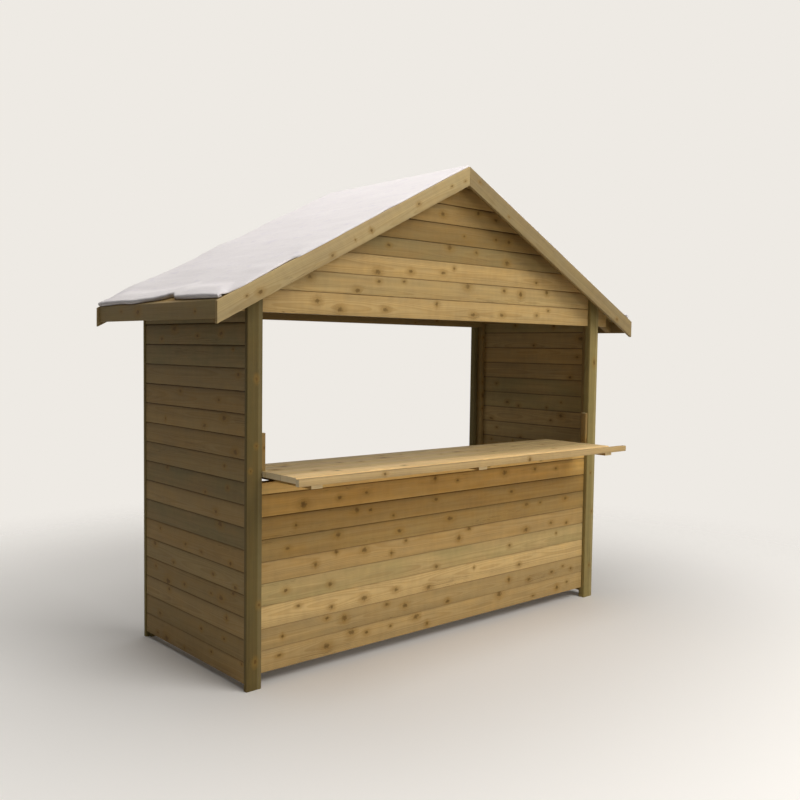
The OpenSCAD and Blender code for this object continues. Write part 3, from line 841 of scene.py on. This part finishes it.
def makeRafters(name, node, seed):
    stack = Stack(seed)
    near, far = low(node)[1], high(node)[1]
    middle = (near + far) / 2
    outline = square(1, 1, rafter["ease"])
    places = [(x, False) for x in (high("ridge_board")[0], *rafter["between"], frameInner)]
    places += [(wallOuter, True), (wallOuter, False), (fasciaInner, False)]
    for side in (-1, 1):
        rings = []
        grain = []
        shift = stack.pick.uniform(*rafter["shift"])
        for x, seated in places:
            top = roofLine(x) - boardsPlumb
            foot = seatHeight if seated else top - rafterPlumb
            z = foot + (top - foot) * (outline[:, 0] + 0.5)
            y = (far - near) * outline[:, 1]
            rings.append(np.stack([np.full(len(z), side * x), middle + y, z], 1))
            grain.append(np.stack([np.full(len(z), x / run), (z - roofLine(x)) * run, y], 1))
        knots = [(x, row + rafter["knotRow"], size) for x, row, size in stack.knots(*rafter["knots"])]
        tint = (stack.pick.uniform(*rafter["bright"]), rafter["green"], rafter["gold"])
        stack.loft(rings, grain, rafter["heart"], tint, knots, shift)
    stack.make(name, "frame_timber", node)


ridge = {"ease": 0.0015, "tint": (-0.1, 0.2, 0.3), "knotReach": 0.04}


def makeRidgeBoard():
    stack = Stack(seed=66)
    lowest, highest = low("ridge_board"), high("ridge_board")
    middle = (lowest[2] + highest[2]) / 2
    half = highest[0]
    foot, shoulder, peak = (z - middle for z in (lowest[2], roofLine(half) - boardsPlumb, highest[2]))
    corners = [(foot, -half), (foot, half), (shoulder, half), (peak, 0), (shoulder, -half)]
    knots = stack.knots(lowest[1], highest[1], ridge["knotReach"])
    stack.board((upward * middle, inward, upward, right), rounded(corners, ridge["ease"]),
                straight(lowest[1], highest[1]), ridge["tint"], knots)
    stack.make("ridgeTimber", "frame_timber", "ridge_board")


# Trim: fascias along the eaves and barge boards on the rakes. Tints and knots go by (face, side)
# the fascias' tint is darkened, painted shade
trim = {"round": 0.0022, "knotReach": 0.035, "fasciaTint": (-0.9, 0.35, 0.7), "ridgeGap": 0.0003,
        "bargeKnotSpan": (0.05, 1.8), "bargeBow": 0.0004, "bargeHeart": (-0.03, -0.06, noBand),
        "bargeTints": {(-1, -1): (0.2, 0.2, 0.2), (-1, 1): (-0.85, 0.2, 0.2), (1, -1): (-0.05, 0.3, 0.2),
                       (1, 1): (0.0, 0.2, 0.3)},
        "bargeKnots": {(-1, -1): [(0.075, -0.013, 0.004), (0.191, -0.002, 0.004), (0.478, -0.002, 0.006),
                                  (0.862, -0.006, 0.006), (0.985, -0.01, 0.003), (1.158, -0.024, 0.006),
                                  (1.643, -0.014, 0.008), (1.721, 0.002, 0.004)]}}


def makeFascia(side, word):
    stack = Stack(seed=70 + side)
    lowest, highest = low("right_fascia"), high("right_fascia")
    middle = (lowest + highest) / 2 * (side, 0, 1)
    half = (highest[0] - lowest[0]) / 2
    foot, inner, outer = (z - middle[2] for z in (lowest[2], highest[2], roofLine(highest[0])))
    corners = [(foot, -half), (foot, half), (outer, half), (inner, -half)]
    knots = stack.knots(lowest[1], highest[1], trim["knotReach"])
    stack.board((middle, inward, upward, right * side), rounded(corners, trim["round"]),
                straight(lowest[1], highest[1]), trim["fasciaTint"], knots)
    stack.make(word + "EavesFascia", "trim_boards", word + "_fascia")


def makeBarge(face, side, where, word):
    stack = Stack(seed=80 + face * 2 + side)
    down, normal = lean[side]
    lowest, highest = low("front_right_barge"), high("front_right_barge")
    thick = highest[1] - lowest[1]
    wide = (roofLine(eaveReach) - lowest[2]) * run
    outer = roofFront if face < 0 else roofRear
    middle = ridgePoint + inward * (outer - face * thick / 2) - normal * wide / 2
    ends = [(lambda v, w, x=x: (x - (v - wide / 2) * rise) / run) for x in (trim["ridgeGap"], eaveReach)]
    knots = trim["bargeKnots"].get((face, side)) or stack.knots(*trim["bargeKnotSpan"], trim["knotReach"])
    stack.board((middle, down, normal, inward * face), square(wide, thick, trim["round"]), ends,
                trim["bargeTints"][(face, side)], knots, bow=trim["bargeBow"], heart=trim["bargeHeart"])
    stack.make(where + word.capitalize() + "BargeBoard", "trim_boards", where + "_" + word + "_barge")


sides = {-1: "left", 1: "right"}
faces = {-1: "front", 1: "rear"}
makeFrontPanel()
makeCounter()
makeCounterEdge()
for side, word in sides.items():
    makeSideWall(side, word)
    makeRoofBoards(side, word)
    makeFascia(side, word)
    makeMembers(word + "WallHeadRail", word + "_wall_top_rail", "y", seed=90 + side)
    makeMembers(word + "WallFootRail", word + "_wall_bottom_rail", "y", seed=93 + side)
    makeMembers(word + "WallStuds", word + "_wall_battens", "z", seed=96 + side)
    makeMembers(word + "CounterStop", "counter_stop_" + word, "z", seed=99 + side, gold=0.4, green=0.1)
for face, where in faces.items():
    makeGable(face, where)
    makeMembers(where + "HeadTie", where + "_tie", "x", seed=104 + face)
    makeRafters(where + "RafterPair", where + "_rafters", seed=107 + face)
    for side, word in sides.items():
        makePost(face, side, where, word)
        makeBarge(face, side, where, word)
makeRafters("middleRafterPair", "middle_rafters", seed=110)
makeRidgeBoard()
makeMembers("panelHeadRail", "front_panel_top_rail", "x", seed=111)
makeMembers("panelFootRail", "front_panel_bottom_rail", "x", seed=112)
makeMembers("panelStuds", "front_panel_studs", "z", seed=113)
# the cleats are brightened, painted light in their shade
for i, place in enumerate(("left", "middle", "right")):
    makeMembers(place + "CounterCleat", "counter_cleat_" + place, "y", seed=114 + i, bright=0.6, green=0.0)
print("timber made")


# Fleece: one soft sheet laid over the ridge, its eaves edges tucked under. Places along the
# edges are (where, set back); lumps are (distance from the ridge, y, height, reach, reach along y)
fleece = {
    "thick": 0.0095, "rows": 92, "steps": 108, "step": (0, 0.0012, 0.0032, 0.006, 0.0095), "margin": 0.012,
    "clear": 0.0006, "setBack": 0.04, "crest": 0.02,
    # the fold at the eaves: its length, gap and swelling, how it narrows towards the corners, and the
    # ramp on which the sheet rises over it
    "tuck": 0.045, "tuckLeast": 0.3, "foldGap": 0.0008, "foldSwell": 0.0018, "foldWave": (5.2, 3.0, 0.4),
    "foldTurns": 9, "corner": 0.13, "rampEnd": 0.007, "ramp": (0.012, 0.06),
    "front": [(-1.9, 0.02), (-1.82, 0.024), (-1.7, 0.006), (-1.6, 0.014), (-1.5, 0.018), (-1.42, 0.026),
              (-1.38, 0.022), (-1.35, -0.004), (-1.2, -0.006), (-1.1, -0.004), (-1.0, 0.006), (-0.8, 0.01),
              (-0.7, 0.018), (-0.6, 0.008), (-0.4, 0.014), (-0.2, 0.018), (0.0, 0.012), (0.3, 0.004),
              (0.9, 0.002), (1.4, 0.005), (1.84, 0.003), (1.9, 0.012)],
    "rear": [(-1.9, 0.012), (-1.6, -0.004), (-1.3, 0.014), (-0.9, 0.01), (-0.8, 0.03), (-0.6, 0.02),
             (-0.3, 0.04), (0.0, 0.02), (0.5, 0.03), (1.1, 0.01), (1.9, 0.03)],
    "eaves": {-1: [(-0.6, 0.02), (-0.5, 0.024), (-0.36, 0.028), (-0.24, 0.032), (-0.13, 0.04),
                   (-0.08, 0.062), (-0.05, 0.08), (-0.02, 0.076), (0.03, 0.052), (0.14, 0.034),
                   (0.34, 0.014), (0.5, 0.02), (0.8, 0.01)],
              1: [(-0.6, 0.04), (-0.3, 0.028), (0.0, 0.036), (0.3, 0.022), (0.55, 0.034), (0.8, 0.02)]},
    "lumps": [(-1.64, 0.74, 0.015, 0.15, 0.14), (-1.27, -0.54, 0.007, 0.1, 0.07),
              (-1.0, 0.72, 0.007, 0.1, 0.16), (-1.52, -0.47, 0.004, 0.04, 0.14),
              (-1.05, -0.1, 0.003, 0.08, 0.3), (-0.62, 0.3, 0.003, 0.06, 0.25),
              (-1.4, 0.2, 0.0035, 0.08, 0.22), (1.1, 0.1, 0.004, 0.08, 0.3), (0.6, -0.35, 0.003, 0.07, 0.25),
              (1.5, 0.5, 0.006, 0.12, 0.2), (-1.75, -0.3, 0.003, 0.06, 0.12)],
    # waves of the sheet: how often down the slope and along the eaves, where in the noise, and how high
    "waves": [(3.1, 1.3, 7, 0.003), (9.5, 2.6, 1, 0.002), (26, 6, 4, 0.0007)], "lift": 0.003,
    # where they calm down: within what distance, and the least share that stays
    "calm": {"ridge": (0.2, 0.35), "eave": (0.12, 0.3), "front": (0.07, 0.12)},
}
# crease is the colour of painted shade in the sheet's creases
fleeceLook = {"dull": seen(224, 217, 216), "clean": seen(234, 228, 225), "felt": seen(214, 207, 210),
              "crease": seen(212, 204, 212), "feltMix": 0.3, "creaseMix": 0.4, "rough": 0.92, "relief": 0.55,
              "tall": 0.002}


def between(table, where):
    # a smooth value at each place of an array, from listed places
    places, values = (np.array(column) for column in zip(*table))
    where = np.clip(where, places[0], places[-1])
    i = np.clip(np.searchsorted(places, where) - 1, 0, len(places) - 2)
    t = (where - places[i]) / (places[i + 1] - places[i])
    return values[i] + (values[i + 1] - values[i]) * t * t * (3 - 2 * t)


def calm(distance, edge):
    reach, least = fleece["calm"][edge]
    return np.clip(distance / reach, least, 1)


def fleeceLift(reach, y, eave):
    # how far the sheet is off the boards at signed distances from the ridge
    wave = np.array([sum(noise.noise(Vector((a * down, b * wide, seed))) * tall
                         for down, wide, seed, tall in fleece["waves"]) for a, b in zip(reach, y)])
    away = np.abs(reach)
    lift = np.maximum(wave + fleece["lift"], 0) * calm(away, "ridge") * calm(eave - away, "eave")
    for middle, row, tall, wide, long in fleece["lumps"]:
        lift = lift + tall * np.exp(-((reach - middle) / wide) ** 2 - ((y - row) / long) ** 2)
    return lift * calm(y - roofFront, "front")


def fleeceSlope(side, rows, wide, eave):
    # lines of the sheet down one slope, round the fold at the eave and back below it. Each has its reach
    # from the ridge, its height, the reach that its lift is for, its share of that lift, and the
    # distance to the hem
    f = fleece
    half = f["thick"] / 2
    floor = half + f["clear"]
    end = eave - between(f["eaves"][side], roofFront + rows)
    often, apart, seed = f["foldWave"]
    swell = np.array([noise.noise(Vector((y * often, side * apart, seed))) for y in rows])
    inner = np.clip(np.minimum(rows, wide - rows) / f["corner"], 0, 1)
    radius = half + f["foldGap"] + f["foldSwell"] * (1 + swell) * inner
    tuck = f["tuckLeast"] + (1 - f["tuckLeast"]) * inner
    stop = 1 - (f["tuck"] * tuck + f["rampEnd"]) / end
    begin = stop - f["ramp"][0] - f["ramp"][1] * inner
    lines = []
    for t in np.concatenate([np.linspace(0, f["crest"], 5)[:-1], np.linspace(f["crest"], 1, f["steps"])]):
        up = np.clip((t - begin) / (stop - begin), 0, 1)
        height = floor + 2 * radius * up * up * (3 - 2 * up)
        lines.append((side * t * end, height, side * t * end, 1.0, 1.0))
    for turn in np.linspace(0, math.pi, f["foldTurns"] + 1)[1:]:
        up = (1 + math.cos(turn)) / 2
        lines.append((side * (end + radius * math.sin(turn)), floor + 2 * radius * up, side * end, up, 1.0))
    hem = f["tuck"] - np.array(f["step"])[::-1]
    for t in np.concatenate([np.linspace(0, 1, 5)[1:-1] * (f["tuck"] - f["margin"]), hem]):
        lines.append((side * (end - t * tuck), floor, side * end, 0.0, f["tuck"] - t))
    return lines


def fleeceFinish():
    look = fleeceLook
    g = Graph(bpy.data.materials.new("white_fleece"))
    place = g.place()
    fibre = g.noise(place, 420, 3, 0.65)
    felt = g.noise(place, 75, 3)
    drift = g.noise(place * (1.0, 0.3, 1.0), 9, 2)
    crease = g.noise(place * (1.0, 0.4, 1.0), 24, 2)
    white = g.mix(drift, look["dull"], look["clean"])
    white = g.mix(g.soft(felt, 0.45, 0.75) * look["feltMix"], white, look["felt"])
    # painted shade in the creases
    white = g.mix(g.soft(crease, 0.56, 0.74) * look["creaseMix"], white, look["crease"])
    height = fibre * 0.35 + felt * 0.4 + drift * 0.6 + crease * 1.1
    return g.finish({"Base Color": white, "Roughness": look["rough"],
                     "Normal": g.bump(height, look["relief"], look["tall"])})


def makeFleece():
    f = fleece
    wide = roofRear - roofFront
    step = np.array(f["step"])
    rows = np.concatenate([step, np.linspace(f["margin"], wide - f["margin"], f["rows"]), wide - step[::-1]])
    eave = fasciaOuter / run
    halves = [fleeceSlope(side, rows, wide, eave) for side in (-1, 1)]
    lines = halves[0][::-1] + halves[1][1:]
    middle = np.zeros((len(lines), len(rows), 3))
    for i, (reach, height, liftAt, share, _) in enumerate(lines):
        front, rear = between(f["front"], reach), between(f["rear"], reach)
        y = roofFront + rows + front * (1 - rows / wide) - rear * rows / wide
        above = height + fleeceLift(liftAt, y, eave) * share
        tilt = roof["pitch"] * np.clip(reach / f["crest"], -1, 1)
        middle[i, :, 0] = reach * run + np.sin(tilt) * above
        middle[i, :, 1] = y
        middle[i, :, 2] = ridgeHeight - np.abs(reach) * rise + np.cos(tilt) * above
    normal = np.cross(np.gradient(middle, axis=0), np.gradient(middle, axis=1))
    normal /= np.linalg.norm(normal, axis=2)[:, :, None]

    # the edges thin out over the sheet's thickness
    hem = np.array([line[4] for line in lines])
    inside = np.minimum(np.minimum(rows, wide - rows)[None, :], hem[:, None])
    soft = np.sqrt(1 - (1 - np.clip(inside / f["thick"], 0.012, 1)) ** 2)
    half = f["thick"] / 2
    layers = [middle + normal * ((2 * soft - 1) * half)[:, :, None], middle - normal * half]
    count = middle.shape[0] * middle.shape[1]
    at = np.arange(count).reshape(middle.shape[:2])
    a, b, c, d = (corner.ravel() for corner in (at[:-1, :-1], at[1:, :-1], at[1:, 1:], at[:-1, 1:]))
    sheet = np.concatenate([np.stack([a, b, c, d], 1), np.stack([d, c, b, a], 1) + count])
    rim = np.concatenate([at[:, 0][::-1], at[0, 1:], at[1:, -1], at[-1, -2::-1]])
    rim = np.stack([rim[:-1], rim[1:], rim[1:] + count, rim[:-1] + count], 1)
    mesh = bpy.data.meshes.new("roofFleece")
    points = np.concatenate(layers).reshape(-1, 3)
    mesh.from_pydata(points.tolist(), [], np.concatenate([sheet, rim]).tolist())
    mesh.polygons.foreach_set("use_smooth", [True] * len(mesh.polygons))
    mesh.materials.append(fleeceFinish())
    made = linked("roofFleece", mesh)
    settle(made, "fleece", "left_fleece", "right_fleece")


makeFleece()
print("fleece laid")


# Camera: where the photo was taken from
photoView = {"place": (-3.7963, -4.3056, 1.752), "heading": 41.389, "down": 3.292, "roll": -0.775,
             "focal": 893.3, "width": 800, "sensor": 36.0}


def makeCamera():
    v = photoView
    heading, down, roll = (math.radians(v[key]) for key in ("heading", "down", "roll"))
    ahead = Vector((math.sin(heading) * math.cos(down), math.cos(heading) * math.cos(down), -math.sin(down)))
    level = Vector((math.cos(heading), -math.sin(heading), 0))
    below = ahead.cross(level)
    across = level * math.cos(roll) + below * math.sin(roll)
    below = below * math.cos(roll) - level * math.sin(roll)
    turn = Matrix((across, -below, -ahead)).transposed().to_4x4()
    data = bpy.data.cameras.new("photoCamera")
    data.sensor_width = v["sensor"]
    data.lens = v["focal"] / v["width"] * v["sensor"]
    camera = linked("photoCamera", data)
    camera.matrix_world = Matrix.Translation(v["place"]) @ turn
    bpy.context.scene.camera = camera


# Studio: a pale floor that fades into the backdrop, and soft lamps that look at one point. The floor
# fades, and glows a little, between distances from the middle
studio = {"pale": seen(238, 234, 228), "grit": seen(214, 208, 200), "gritMix": 0.06, "floorReach": 14,
          "floorSides": 96, "floorRough": 0.75, "floorFade": (2.6, 5.2), "floorGlow": (1.2, 4.2),
          "glowMix": 0.3, "ambient": 0.075, "ambientTint": (0.97, 0.98, 1.0), "target": (0, 0, 1.2),
          "lamps": {"key": {"at": (1.4, -6.3, 6.4), "size": (5.4, 4.4), "power": 385},
                    "top": {"at": (-0.6, 0.2, 6.8), "size": (5.6, 5.6), "power": 235},
                    "fill": {"at": (0.8, -7.2, 1.5), "size": (4.2, 2.0), "power": 80}}}


def makeFloor():
    mesh = bpy.data.meshes.new("studioFloor")
    reach, count = studio["floorReach"], studio["floorSides"]
    turns = [2 * math.pi * i / count for i in range(count)]
    points = [(math.cos(turn) * reach, math.sin(turn) * reach, 0) for turn in turns]
    mesh.from_pydata(points, [], [list(range(count))])
    linked("studioFloor", mesh)
    g = Graph(bpy.data.materials.new("floorPaint"))
    place = g.place()
    away = g.length(place)
    paint = g.mix(g.noise(place, 60, 3) * studio["gritMix"], studio["pale"], studio["grit"])
    glow = g.mix(g.soft(away, *studio["floorGlow"]) * studio["glowMix"], (0.0, 0.0, 0.0), studio["pale"])
    mesh.materials.append(g.finish({"Base Color": paint, "Roughness": studio["floorRough"],
                                    "Alpha": 1 - g.soft(away, *studio["floorFade"]), "Emission Color": glow,
                                    "Emission Strength": 1.0}))


def makeWorld():
    # the camera, mirrors and glass see the pale backdrop, and the object gets a dim light of its own
    world = bpy.data.worlds.new("studioWorld")
    bpy.context.scene.world = world
    g = Graph(world)
    rays = g.node("ShaderNodeLightPath").socket.node.outputs
    kinds = ("Camera", "Glossy", "Transmission")
    camera, glossy, glass = (Value(g, rays[f"Is {kind} Ray"]) for kind in kinds)
    light = g.node("ShaderNodeBackground", {},
                   {"Color": studio["ambientTint"], "Strength": studio["ambient"]})
    view = g.node("ShaderNodeBackground", {}, {"Color": studio["pale"], "Strength": 1.0})
    both = g.node("ShaderNodeMixShader", {}, {0: camera + glossy + glass, 1: light, 2: view})
    g.node("ShaderNodeOutputWorld", {}, {"Surface": both})


def makeLamps():
    for name, lamp in studio["lamps"].items():
        data = bpy.data.lights.new(name + "Lamp", "AREA")
        data.shape = "RECTANGLE"
        data.size, data.size_y = lamp["size"]
        data.energy = lamp["power"]
        made = linked(name + "Lamp", data)
        made.location = lamp["at"]
        toTarget = Vector(studio["target"]) - Vector(lamp["at"])
        made.rotation_euler = toTarget.to_track_quat("-Z", "Y").to_euler()


makeCamera()
makeFloor()
makeWorld()
makeLamps()
bpy.context.scene.view_settings.view_transform = "Standard"
print("camera and studio made")
